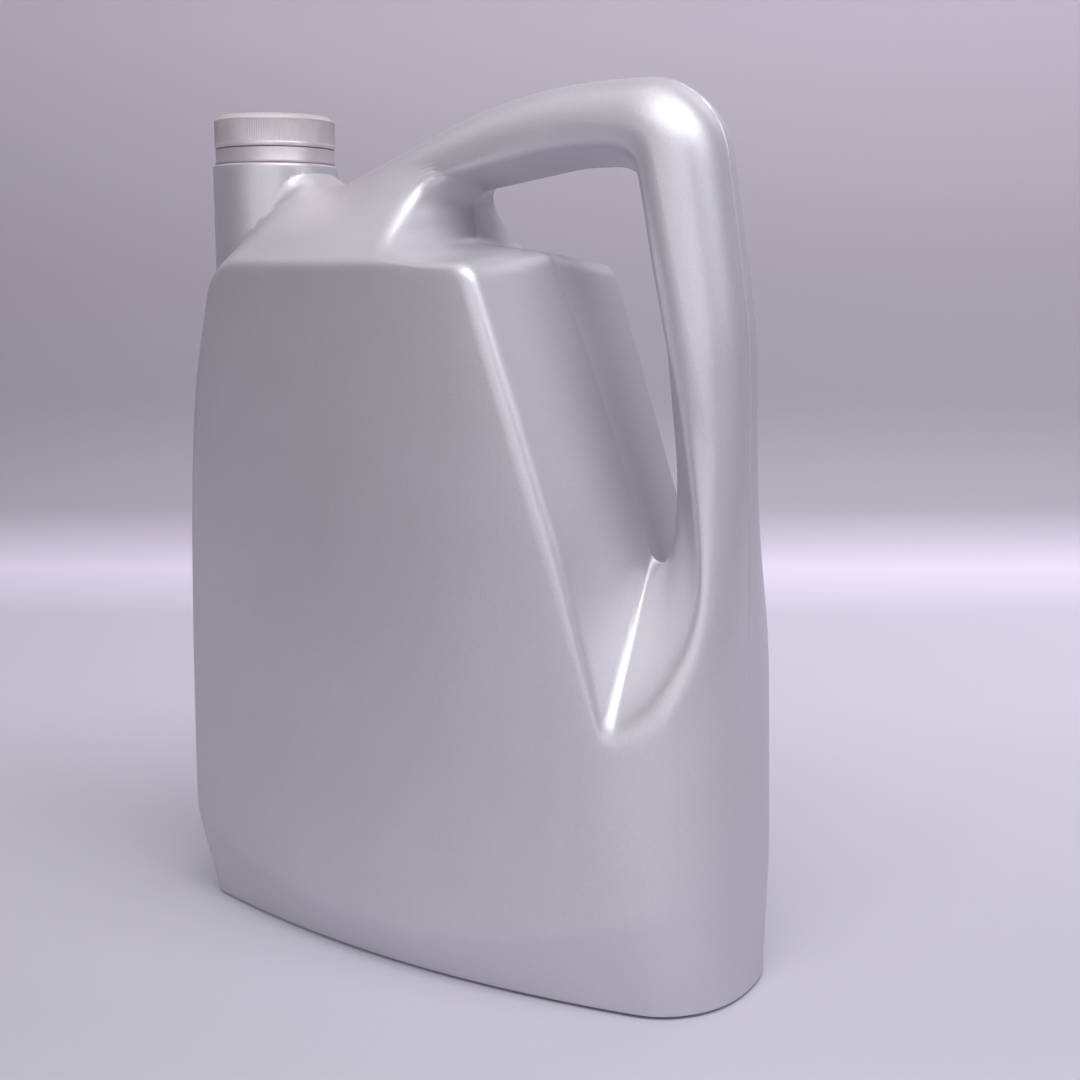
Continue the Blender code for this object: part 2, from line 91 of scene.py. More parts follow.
# Neck: a wide column, and on it the narrower finish that carries bead, thread and lip
COLUMN_RADIUS = 24.3 * MM
COLUMN_TOP = HEIGHT - 23.3 * MM
COLUMN_FOOT = COLUMN_TOP - 68.0 * MM   # the column starts inside the body
NECK_X = -(LENGTH / 2 - COLUMN_RADIUS - 1.6 * MM)
BORE_RADIUS = 17.2 * MM
FINISH_WALL = 2.0 * MM
FINISH_RADIUS = BORE_RADIUS + FINISH_WALL
BEAD_HEIGHT = 1.3 * MM         # ring on the finish that holds the band back

# Thread, right-handed
PITCH = 4.0 * MM
THREAD_HEIGHT = 1.3 * MM
THREAD_TURNS = 1.25
THREAD_PHASE = math.radians(1.7)   # keeps the ridge's corners off those of the neck
THREAD_CLEARANCE = 0.35 * MM   # radial, between a crest and the opposite wall

# Closure
SEAT_GAP = 0.35 * MM           # between pieces that would otherwise touch
BAND_HEIGHT = 5.5 * MM
BAND_WALL = 2.0 * MM
CAP_WALL = 2.55 * MM
CAP_HEIGHT = 12.4 * MM
CAP_TOP_WALL = 1.5 * MM
CAP_CHAMFER = 2.0 * MM
CAP_RIBS = 160
SEGMENTS_PER_RIB = 4
RIB_DEPTH = 0.20 * MM
LINER_THICKNESS = 1.0 * MM

CAP_INNER = FINISH_RADIUS + THREAD_HEIGHT + THREAD_CLEARANCE
CAP_RADIUS = CAP_INNER + CAP_WALL
BAND_RADIUS = CAP_RADIUS - 0.1 * MM
BAND_FOOT = COLUMN_TOP + SEAT_GAP
CAP_FOOT = BAND_FOOT + BAND_HEIGHT + SEAT_GAP
CAP_CEILING = CAP_FOOT + CAP_HEIGHT - CAP_TOP_WALL
LINER_TOP = CAP_CEILING - SEAT_GAP
LIP_TOP = LINER_TOP - LINER_THICKNESS - SEAT_GAP
THREAD_START = CAP_FOOT + 2.2 * MM

# The guide curves are drawn for a bottle of 236 by 317.5 mm and stretched to its size.
STRETCH = np.array([LENGTH / (236.0 * MM), HEIGHT / (317.5 * MM)])
TOP = PANEL_TOP / MM / STRETCH[1]
FOOT = FOOT_EDGE / MM / STRETCH[1]

# A guide curve is a closed polygon with rounded corners, (x, z, radius) in millimetres.
# Each of its stations lies near the curve, and spokes join stations of the same number.
HOLE = dict(
    corners=[(86.0, 129.4, 6), (86.6, 186, 90), (78.0, 262, 90), (74.0, 288.2, 14),
             (50.0, 288.3, 70), (4.0, 281.3, 7), (3.0, 263.3, 4), (34.5, 259.8, 7),
             (51.0, 223.5, 200)],
    stations=[(79.0, 157), (86.0, 168), (86.5, 186), (81.0, 235), (72, 286), (48, 288),
              (5, 279), (5, 264.5), (36, 257.5), (60.0, 199),
              (62.5, 192)])
RIM = dict(
    corners=[(83.0, 99.5, 4), (94.0, 102.3, 20), (108.9, 122.5, 22), (108.2, 152, 60),
             (101.0, 188, 100), (83.5, 258, 90), (76.5, 295.0, 10), (46.0, 296.0, 110),
             (-8.0, 284.5, 13), (-5.0, TOP, 13), (34.0, TOP, 9), (66.5, 160, 250)],
    stations=[(84.5, 101), (103.0, 114.0), (108.5, 146), (97, 203), (73, 294), (45, 296),
              (-5.5, 282), (6.0, TOP), (33, 254), (62.5, 172),
              (66.0, 162)])
BELT = dict(
    corners=[(-10.0, -2.0, 278), (92.0, 35.5, 10), (112.0, 62, 18), (113.2, 150, 90),
             (110.6, 200, 90), (86.5, 304.5, 14), (43.0, 305.0, 120), (-50.0, 283.5, 25),
             (-80.0, 258, 12), (-100.0, 230, 30), (-108.0, 140, 90), (-106.5, 32, 8)],
    stations=[(91.0, 37), (107.5, 56), (113.2, 146), (109.5, 203), (83, 302), (43, 303),
              (-50, 282), (-80, 256), (-107.0, 140), (-105.5, 37),
              (-98, 28)])
OUTLINE = dict(
    corners=[(118.0, FOOT, 0), (115.2, 150, 500), (113.3, 232, 160), (99.8, 317.5, 31),
             (27.5, 317.5, 320), (-57.0, 284.6, 10), (-71, 292.3, 6), (-101, 288, 12),
             (-117.2, 232, 25), (-117.4, 140, 90), (-117.9, 38, 60), (-110.5, FOOT, 0)],
    stations=[(93.0, FOOT), (118.0, FOOT), (115.4, 146), (114, 203), (94, 311), (40, 315.5),
              (-57, 285.6), (-116, 239), (-117.2, 140), (-110.5, FOOT),
              (-100, FOOT)])

# Tangent length of the rounding at the pocket's rim, by station, and mesh counts.
RIM_ROUNDING = np.array([5.0, 8.0, 11.0, 12.0, 8.0, 5.5, 5.5, 5.5, 6.0, 6.0, 6.0]) * MM
FOOT_CORNER = OUTLINE["stations"].index((-110.5, FOOT))   # foot corner at the neck's end
SPOKES = (24, 24, 18, 24, 20, 26, 48, 24, 24, 14, 24)
RINGS = (12, 8, 26, 26)        # on the pocket's wall, its rim, the panel and the side
ROOM_SPOKES = (5, 5, 4, 9, 4, 6, 6, 5, 6, 3, 6)
ROOM_RINGS = (3, 2, 3, 6)
SCOOP_STATIONS = 3             # the scoop's open side runs along this many stations
RELAX_PASSES = 90
SEAM_HALF_WIDTH = 0.5 * MM     # ridge left by the mould's parting line
SEAM_HEIGHT = 0.22 * MM
RIDGE_HEIGHT = 0.45 * MM       # of the broad, shallow ridge under it
ROUND_SEGMENTS = 192           # round the neck
THREAD_STEPS = 96              # to a turn
SHARP_ANGLE = math.radians(38.0)


def smooth_step(t):
    """0 below t = 0, 1 above t = 1, smooth between."""
    t = np.clip(t, 0.0, 1.0)
    return t * t * (3.0 - 2.0 * t)


def smooth_min(a, b, reach):
    """The lesser of the two, rounded where they are within reach of each other."""
    h = np.clip(reach - np.abs(a - b), 0.0, None) / reach
    return np.minimum(a, b) - h * h * reach / 4.0


def smooth_max(a, b, reach):
    return -smooth_min(-a, -b, reach)


def rounded_polygon(corners, step=1.0 * MM):
    """Closed polyline of a polygon whose corners are rounded."""
    pts = np.array([(x, z) for x, z, _ in corners]) * MM * STRETCH
    line = []
    for i, (_, _, radius) in enumerate(corners):
        here = pts[i]
        a = pts[i - 1] - here
        b = pts[(i + 1) % len(pts)] - here
        a_len, b_len = np.linalg.norm(a), np.linalg.norm(b)
        a, b = a / a_len, b / b_len
        half = math.acos(float(np.clip(a @ b, -1.0, 1.0))) / 2.0
        r = radius * MM
        if r == 0.0 or half > math.pi / 2 - 1e-4:
            line.append(here)
            continue
        cut = min(r / math.tan(half), 0.49 * a_len, 0.49 * b_len)
        r = cut * math.tan(half)
        middle = (a + b) / np.linalg.norm(a + b)
        centre = here + middle * (r / math.sin(half))
        start, end = here + a * cut, here + b * cut
        u, v = start - centre, end - centre
        turn = math.atan2(u[0] * v[1] - u[1] * v[0], u @ v)
        count = max(3, int(abs(turn) * r / step))
        for k in range(count + 1):
            t = turn * k / count
            c, s = math.cos(t), math.sin(t)
            line.append(centre + np.array((c * u[0] - s * u[1], s * u[0] + c * u[1])))
    return np.array(line)


def arc_lengths(line):
    """The line closed, and the length run through at each of its points."""
    closed = np.vstack([line, line[:1]])
    legs = np.linalg.norm(np.diff(closed, axis=0), axis=1)
    return closed, np.concatenate([[0.0], np.cumsum(legs)])


def at_length(closed, lengths, s):
    s = np.mod(s, lengths[-1])
    return np.stack([np.interp(s, lengths, closed[:, k]) for k in (0, 1)], axis=-1)


def station_lengths(closed, lengths, stations):
    """Where along the line each station lies; corners near one are met exactly."""
    fine = np.linspace(0.0, lengths[-1], 6000, endpoint=False)
    pts = at_length(closed, lengths, fine)
    found = []
    for place in np.array(stations) * MM * STRETCH:
        gap = np.hypot(*(pts - place).T)
        s = fine[int(np.argmin(gap))]
        corner = lengths[int(np.argmin(np.abs(lengths - s)))]
        if abs(corner - s) < 0.2 * MM:
            s = corner
        while found and s < found[-1] - 1e-9:
            s += lengths[-1]
        found.append(s)
    return found


def sample_guide(guide, spokes, foot=False):
    """Points of a guide curve, spoke by spoke, closer together near the stations.

    On the outline's foot they crowd towards its two corners instead.
    """
    closed, lengths = arc_lengths(rounded_polygon(guide["corners"]))
    marks = station_lengths(closed, lengths, guide["stations"])
    marks.append(marks[0] + lengths[-1])
    s = []
    for k, (start, stop, count) in enumerate(zip(marks[:-1], marks[1:], spokes)):
        u = np.arange(count) / count
        eased = u - 0.6 * np.sin(2.0 * math.pi * u) / (2.0 * math.pi)
        if foot and k == 0:
            eased = 1.0 - (1.0 - u) ** 2
        if foot and k == FOOT_CORNER:
            eased = u ** 2
        s.extend(start + (stop - start) * eased)
    return at_length(closed, lengths, np.array(s))


def per_spoke(values, spokes):
    """A value for every spoke, from one value per station."""
    out = []
    for k, count in enumerate(spokes):
        u = np.arange(count) / count
        out.extend(values[k] + (values[(k + 1) % len(values)] - values[k]) * u)
    return np.array(out)


def outline_gap(x, z):
    """Distance to the outline, apart from its bottom edge."""
    line = rounded_polygon(OUTLINE["corners"], 2.0 * MM)
    a, b = line[:-1], line[1:]
    d = b - a
    px = np.stack([np.ravel(x), np.ravel(z)], axis=-1)[:, None, :]
    t = np.clip(((px - a) * d).sum(-1) / (d * d).sum(-1), 0.0, 1.0)
    gap = np.linalg.norm(px - a - t[..., None] * d, axis=-1).min(axis=1)
    return gap.reshape(np.shape(x))


def panel_depth(x):
    return PANEL_HALF_DEPTH - (x - BOW_X) ** 2 / (2.0 * BOW_RADIUS)


def half_depth(x, z, fillet):
    """Distance from the parting plane to the outside of the bottle.

    With a fillet, the shell runs into the neck's column in a small one.
    """
    panel = panel_depth(x)
    # Beyond this soft crease the panel turns towards the end of the bottle.
    crease = END_CREASE_X - END_CREASE_LEAN * z
    panel = smooth_min(panel, panel - END_SLOPE * (x - crease), 1.0 * MM)
    flare = smooth_step((FLARE_HIGH - z) / (FLARE_HIGH - FLARE_LOW))
    grip = GRIP_HALF_DEPTH + (panel + FLARE_EXCESS - GRIP_HALF_DEPTH) * flare
    # The grip is everything beyond a bent line that runs through the handle's hole.
    px, pz = x / STRETCH[0] / MM, z / STRETCH[1] / MM
    beyond = MM * np.maximum(*[(pz - line_z + fall * (px - line_x)) * factor
                               for line_x, line_z, fall, factor in GRIP_LINE])
    rise = np.clip(z - PANEL_TOP, -20.0 * MM, None)
    front = panel - SHOULDER_SLOPE * rise - GRIP_FALL * np.clip(beyond, 0.0, None)
    trim_z = PANEL_TOP - TRIM_BELOW + TRIM_CLIMB * (x + LENGTH / 2 - TRIM_INSET)
    left = TRIM_HALF_DEPTH + (trim_z - z) / TRIM_SLOPE
    core = smooth_max(grip, front, 6.0 * MM)
    core = smooth_min(core, panel, 3.0 * MM)
    core = smooth_min(core, left, 5.0 * MM)
    # A web of even thickness runs from the crest into the neck's column.
    web = (WEB_HALF_DEPTH * smooth_step((WEB_RIGHT - x) / WEB_RIGHT_FADE)
           * smooth_step((x - WEB_LEFT) / WEB_LEFT_FADE))
    core = smooth_max(core, web, 3.0 * MM)
    core = np.maximum(core, MIN_HALF_DEPTH)

    # Rounding towards the outline: a superellipse. Its width and power change from the neck's
    # end (left) to the handle end (right), up the sides, and along the crest of the bottle.
    right = smooth_step((x + 60.0 * MM) / (80.0 * MM))
    slim = smooth_step((z - FLARE_LOW) / (FLARE_HIGH - FLARE_LOW))
    foot = smooth_step(z / (55.0 * MM))
    width_right = 24.0 * MM
    power_right = 2.6 + 0.3 * foot - 0.6 * slim
    climb = np.clip((z - 40.0 * MM) / (PANEL_TOP - 66.0 * MM), 0.0, 1.0)
    width_left = 6.0 * MM + 10.0 * MM * climb ** 2 + 8.0 * MM * climb ** 6
    power_left = 3.0 - 0.5 * climb - 0.7 * climb ** 4
    crest = smooth_step((z - PANEL_TOP - 6.0 * MM) / (30.0 * MM))
    near_neck = smooth_step((-46.0 * MM - x) / (18.0 * MM))
    width_crest = 21.0 * MM - 9.0 * MM * near_neck
    width = width_left + (width_right - width_left) * right
    width = width + (width_crest - width) * crest
    power = power_left + (power_right - power_left) * right
    power = power + (2.15 - power) * crest
    u = np.clip(outline_gap(x, z) / width, 0.0, 1.0)
    depth = core * (1.0 - (1.0 - u) ** power) ** (1.0 / power)

    if fillet:
        # Just inside the column the shell follows it, so that it meets it in a fillet.
        column = np.sqrt(np.clip(COLUMN_RADIUS ** 2 - (x - NECK_X) ** 2, 0.0, None))
        turned_away = 1.0 - column / COLUMN_RADIUS
        beneath = column - 0.3 * MM - 5.0 * MM * turned_away ** 3
        high = smooth_step((z - 236.0 * MM) / (10.0 * MM))
        raised = depth + (smooth_max(depth, beneath, 4.0 * MM) - depth) * high
        depth = np.where(column > 0.0, raised, depth)

    # The chamfer of the foot narrows the section by a share of its depth.
    edge = CHAMFER_RISE + (x - CHAMFER_X) ** 2 / (2.0 * CHAMFER_RADIUS)
    share = FOOT_INSET / panel
    below = smooth_max(1.0 - z / edge, np.zeros_like(edge), 0.05)
    return depth * (1.0 - share * below)


def relax_scoop(rings, spokes):
    """Evens out the walls round the scoop's open side, from spoke to spoke.

    The outermost ring lies on the outside of the bottle and stays there, and so does the hole.
    """
    first, last = 3, sum(spokes[:SCOOP_STATIONS]) + 4
    index = np.arange(len(rings[0]))
    weight = smooth_step((index - first) / 8.0) * smooth_step((last - index) / 14.0)
    for k in range(1, len(rings) - 1):
        near_hole = (0.0, 0.0, 0.8, 1.0)[min(k, 3)]
        near_outside = min(1.0, (len(rings) - 1 - k) / 4.0)
        share = weight * near_outside * near_hole
        for _ in range(RELAX_PASSES):
            mean = (np.roll(rings[k], 1, axis=0) + np.roll(rings[k], -1, axis=0)) / 2.0
            rings[k] += (mean - rings[k]) * (0.5 * share)[:, None]


def add_parting_ridge(rings, belt, edge, side_rings):
    """Lifts the side's rings into a broad ridge towards the parting plane, a fine one on it."""
    last = rings[-1]
    closing = last[:, 1] == 0.0
    back = (belt - edge) / np.linalg.norm(belt - edge, axis=1)[:, None]
    back[~closing] = 0.0
    for k in range(1, side_rings):
        rings[-1 - k][:, [0, 2]] += back * RIDGE_HEIGHT * (1.0 - k / side_rings) ** 2
    beside = (rings[-2] + last) / 2.0
    beside[closing] = last[closing]
    beside[:, [0, 2]] += back * SEAM_HEIGHT
    beside[closing, 1] = SEAM_HALF_WIDTH
    rings.insert(-1, beside)


def half_shell(spokes, wall_rings, rim_rings, panel_rings, side_rings, fine):
    """Rings of points of one mould half, from the handle's hole out to the outline.

    The fine form has the fillet at the neck's column and a ridge along the parting plane.
    """
    hole, rim = sample_guide(HOLE, spokes), sample_guide(RIM, spokes)
    belt, edge = sample_guide(BELT, spokes), sample_guide(OUTLINE, spokes, fine)
    rounding = per_spoke(RIM_ROUNDING, spokes)

    def on_surface(flat):
        return np.column_stack([flat[:, 0], half_depth(flat[:, 0], flat[:, 1], fine), flat[:, 1]])

    root = np.column_stack([hole[:, 0], np.zeros(len(hole)), hole[:, 1]])
    corner = on_surface(rim)
    inward = root - corner
    inward_len = np.linalg.norm(inward, axis=1)
    cut = np.minimum(rounding, 0.6 * inward_len)
    start = corner + inward * (cut / inward_len)[:, None]
    out = belt - rim
    out_len = np.linalg.norm(out, axis=1)
    cut = np.minimum(rounding, 0.7 * out_len)
    landing = rim + out * (cut / out_len)[:, None]
    end = on_surface(landing)
    rings = [root + (start - root) * (k / wall_rings) for k in range(wall_rings)]
    if fine:
        beside = root + (start - root) * (SEAM_HALF_WIDTH / start[:, 1])[:, None]
        away = (rim - hole) / np.linalg.norm(rim - hole, axis=1)[:, None]
        beside[:, [0, 2]] += away * SEAM_HEIGHT
        rings.insert(1, beside)
    for k in range(rim_rings + 1):
        t = k / rim_rings
        rings.append(start * (1 - t) ** 2 + corner * (2 * t * (1 - t)) + end * t * t)
    if fine:
        relax_scoop(rings, spokes)
    for k in range(1, panel_rings + 1):
        t = 1.0 - (1.0 - k / panel_rings) ** 1.5
        rings.append(on_surface(landing + (belt - landing) * t))
    # Rings crowd towards the parting plane, where the section turns, but not on the chamfer.
    floor = np.abs(edge[:, 1] - FOOT_EDGE) < 1e-6
    corner_gap = np.minimum(np.abs(edge[:, 0] - edge[floor, 0].max()),
                            np.abs(edge[:, 0] - edge[floor, 0].min()))
    crowded = np.where(floor, np.clip(1.0 - corner_gap / (12.0 * MM), 0.0, 1.0), 1.0)
    for k in range(1, side_rings + 1):
        s = k / side_rings
        t = s ** 1.3 * (1.0 - crowded) + (1.0 - (1.0 - s) ** 2) * crowded
        rings.append(on_surface(belt + (edge - belt) * t[:, None]))
    last = rings[-1]
    last[~floor, 1] = 0.0
    last[last[:, 1] < 0.1 * MM, 1] = 0.0
    if fine:
        add_parting_ridge(rings, belt, edge, side_rings)
    return rings


def facing_out(bm):
    bmesh.ops.recalc_face_normals(bm, faces=bm.faces)
    if bm.calc_volume(signed=True) < 0.0:
        bmesh.ops.reverse_faces(bm, faces=bm.faces)
    return bm


def closed_body(spokes, ring_counts, base_steps, fine=False):
    """Both mould halves and the base, as a bmesh."""
    rings = half_shell(spokes, *ring_counts, fine)
    bm = bmesh.new()
    count = len(rings[0])
    sides = {}
    for sign in (-1, 1):
        grid = []
        for ring in rings:
            row = []
            for x, y, z in ring:
                if y == 0.0 and sign == 1:
                    row.append(sides[-1][len(grid)][len(row)])
                else:
                    row.append(bm.verts.new((x, sign * y, z)))
            grid.append(row)
        sides[sign] = grid
        for a, b in zip(grid[:-1], grid[1:]):
            for i in range(count):
                j = (i + 1) % count
                quad = [a[i], a[j], b[j], b[i]]
                bm.faces.new(quad if sign == 1 else quad[::-1])
    # The base: its edge runs from the left foot corner to the right one on each side.
    order = list(range(sum(spokes[:FOOT_CORNER]), count)) + list(range(spokes[0] + 1))
    front = [sides[-1][-1][i] for i in order]
    back = [sides[1][-1][i] for i in order]
    previous = front + back[-2:0:-1]
    flat = np.array([(v.co.x, v.co.y) for v in previous])
    middle = (flat.max(axis=0) + flat.min(axis=0)) / 2.0
    half_size = (flat.max(axis=0) - flat.min(axis=0)) / 2.0
    for inset, z in base_steps:
        shrunk = middle + (flat - middle) * (1.0 - inset / half_size)
        ring = [bm.verts.new((x, y, z)) for x, y in shrunk]
        for i in range(len(ring)):
            j = (i + 1) % len(ring)
            bm.faces.new((previous[i], previous[j], ring[j], ring[i]))
        previous = ring
    half = len(front)
    near = previous[:half]
    far = [previous[0]] + previous[:half - 1:-1] + [previous[half - 1]]
    for i in range(half - 1):
        face = [near[i], near[i + 1], far[i + 1], far[i]]
        bm.faces.new([v for k, v in enumerate(face) if v not in face[:k]])
    return facing_out(bm)


def combine(target, other, operation):
    """Exact Boolean of two objects; the second one is used up."""
    modifier = target.modifiers.new(operation, "BOOLEAN")
    modifier.operation = operation
    modifier.solver = "EXACT"
    modifier.object = other
    evaluated = target.evaluated_get(bpy.context.evaluated_depsgraph_get())
    mesh = bpy.data.meshes.new_from_object(evaluated)
    target.modifiers.clear()
    target.data = mesh
    bpy.data.objects.remove(other)


def revolve(profile, segments, ribbed=(), turned=0.0):
    """Profile of (radius, z) turned about the neck's axis; a radius of 0 makes a pole.

    Points of the profile named in ribbed are drawn in between the cap's ribs.
    """
    bm = bmesh.new()
    rings = []
    for k, (radius, z) in enumerate(profile):
        if radius == 0.0:
            rings.append([bm.verts.new((NECK_X, 0.0, z))])
            continue
        ring = []
        for i in range(segments):
            angle = 2.0 * math.pi * (i + turned) / segments
            r = radius
            if k in ribbed:
                r -= RIB_DEPTH * (0.5 - 0.5 * math.cos(2.0 * math.pi * i / SEGMENTS_PER_RIB))
            ring.append(bm.verts.new((NECK_X + r * math.cos(angle), r * math.sin(angle), z)))
        rings.append(ring)
    pairs = list(zip(rings[:-1], rings[1:]))
    if len(rings[0]) > 1:
        pairs.append((rings[-1], rings[0]))
    for a, b in pairs:
        for i in range(segments):
            j = (i + 1) % segments
            face = [a[i % len(a)], a[j % len(a)], b[j % len(b)], b[i % len(b)]]
            bm.faces.new([v for k, v in enumerate(face) if v not in face[:k]])
    return facing_out(bm)


def thread_ridge(root, crest, z_start, turns):
    """Right-handed helical ridge whose ends fade out; root is sunk into the wall."""
    bm = bmesh.new()
    steps = int(THREAD_STEPS * turns)
    rings = []
    for k in range(steps + 1):
        t = k / steps
        fade = smooth_step(min(t, 1.0 - t) * turns * 5.0)
        angle = THREAD_PHASE + 2.0 * math.pi * turns * t
        z = z_start + PITCH * turns * t
        tip = root + (crest - root) * (0.45 + 0.55 * float(fade))
        ring = []
        for radius, dz in ((root, -0.9 * MM), (tip, -0.4 * MM), (tip, 0.4 * MM), (root, 0.9 * MM)):
            x, y = radius * math.cos(angle), radius * math.sin(angle)
            ring.append(bm.verts.new((NECK_X + x, y, z + dz)))
        rings.append(ring)
    for a, b in zip(rings[:-1], rings[1:]):
        for i in range(4):
            j = (i + 1) % 4
            bm.faces.new((a[i], a[j], b[j], b[i]))
    bm.faces.new(rings[0])
    bm.faces.new(rings[-1][::-1])
    return facing_out(bm)


def add_object(name, bm, mat):
    mesh = bpy.data.meshes.new(name)
    bm.to_mesh(mesh)
    bm.free()
    mesh.materials.append(mat)
    obj = bpy.data.objects.new(name, mesh)
    bpy.context.scene.collection.objects.link(obj)
    return obj


# ---- Materials


class Nodes:
    """Short names for building a node tree."""

    def __init__(self, name):
        self.mat = bpy.data.materials.new(name)
        self.mat.use_nodes = True
        self.tree = self.mat.node_tree
        self.shader = self.tree.nodes["Principled BSDF"]
        place = self.tree.nodes.new("ShaderNodeTexCoord")
        self.place = place.outputs["Object"]

    def link(self, a, b):
        self.tree.links.new(a, b)

    def node(self, kind, **inputs):
        made = self.tree.nodes.new(kind)
        for key, value in inputs.items():
            socket = made.inputs[key.replace("_", " ")]
            if isinstance(value, bpy.types.NodeSocket):
                self.link(value, socket)
            else:
                socket.default_value = value
        return made

    def noise(self, scale, detail=2.0, vector=None, roughness=0.5):
        made = self.node("ShaderNodeTexNoise", Scale=scale, Detail=detail, Roughness=roughness)
        self.link(vector or self.place, made.inputs["Vector"])
        return made.outputs["Fac"]

    def ramp(self, fac, low, high, a, b):
        """Maps fac from low..high to a..b, clamped."""
        made = self.tree.nodes.new("ShaderNodeMapRange")
        made.inputs["From Min"].default_value = low
        made.inputs["From Max"].default_value = high
        made.inputs["To Min"].default_value = a
        made.inputs["To Max"].default_value = b
        self.link(fac, made.inputs["Value"])
        return made.outputs["Result"]

    def math(self, operation, a, b=0.0):
        made = self.tree.nodes.new("ShaderNodeMath")
        made.operation = operation
        for socket, value in zip(made.inputs, (a, b)):
            if isinstance(value, bpy.types.NodeSocket):
                self.link(value, socket)
            else:
                socket.default_value = value
        return made.outputs["Value"]

    def mix(self, fac, a, b):
        made = self.tree.nodes.new("ShaderNodeMix")
        made.data_type = "RGBA"
        sockets = [made.inputs[0], made.inputs[6], made.inputs[7]]
        for socket, value in zip(sockets, (fac, a, b)):
            if isinstance(value, bpy.types.NodeSocket):
                self.link(value, socket)
            else:
                socket.default_value = value
        return made.outputs[2]

    def bump(self, height, distance, strength, normal=None):
        made = self.node("ShaderNodeBump", Strength=strength, Distance=distance)
        self.link(height, made.inputs["Height"])
        if normal is not None:
            self.link(normal, made.inputs["Normal"])
        return made.outputs["Normal"]

    def set(self, **inputs):
        for key, value in inputs.items():
            socket = self.shader.inputs[key.replace("_", " ")]
            if isinstance(value, bpy.types.NodeSocket):
                self.link(value, socket)
            else:
                socket.default_value = value


def silver_plastic(name, light, dark, grain=1.0, roughness=0.34, metallic=0.38):
    """Pearl-silver polyethylene: flakes under a satin skin with a fine cast grain."""
    n = Nodes(name)
    cloud = n.noise(9.0, 3.0)                       # drifts over a hand's breadth
    flake = n.noise(5200.0, 1.0)                    # pearl flakes of about 0.2 mm
    skin = n.noise(2100.0, 2.0, roughness=0.6)      # cast grain of about 0.5 mm
    swell = n.noise(260.0, 1.0)                     # the wall's slight waviness, 4 mm
    tint = n.mix(n.ramp(cloud, 0.35, 0.65, 0.0, 1.0), (*dark, 1.0), (*light, 1.0))
    sparkle = n.ramp(flake, 0.30, 0.75, 0.90, 1.12)
    colour = n.node("ShaderNodeVectorMath")
    colour.operation = "SCALE"
    n.link(tint, colour.inputs[0])
    n.link(sparkle, colour.inputs["Scale"])
    rough = n.math("ADD", n.ramp(skin, 0.3, 0.7, roughness - 0.03, roughness + 0.04),
                   n.ramp(cloud, 0.3, 0.7, -0.015, 0.02))
    fine = n.bump(skin, 0.00014 * grain, 0.60)
    normal = n.bump(swell, 0.00025 * grain, 0.16, fine)
    n.set(Base_Color=colour.outputs[0], Metallic=metallic, Roughness=rough, Normal=normal)
    n.shader.inputs["IOR"].default_value = 1.5
    n.shader.inputs["Coat Weight"].default_value = 0.12
    n.shader.inputs["Coat Roughness"].default_value = 0.38
    return n.mat


def foam():
    """Closed-cell foam of the wad."""
    n = Nodes("foam_wad")
    cells = n.node("ShaderNodeTexVoronoi", Scale=1800.0)
    n.link(n.place, cells.inputs["Vector"])
    shade = n.ramp(cells.outputs["Distance"], 0.0, 0.6, 0.78, 0.9)
    colour = n.node("ShaderNodeCombineColor", Red=shade, Green=shade,
                    Blue=n.math("MULTIPLY", shade, 0.96))
    n.set(Base_Color=colour.outputs[0], Roughness=0.75,
          Normal=n.bump(cells.outputs["Distance"], 0.0002, 0.5))
    return n.mat


# ---- Pieces


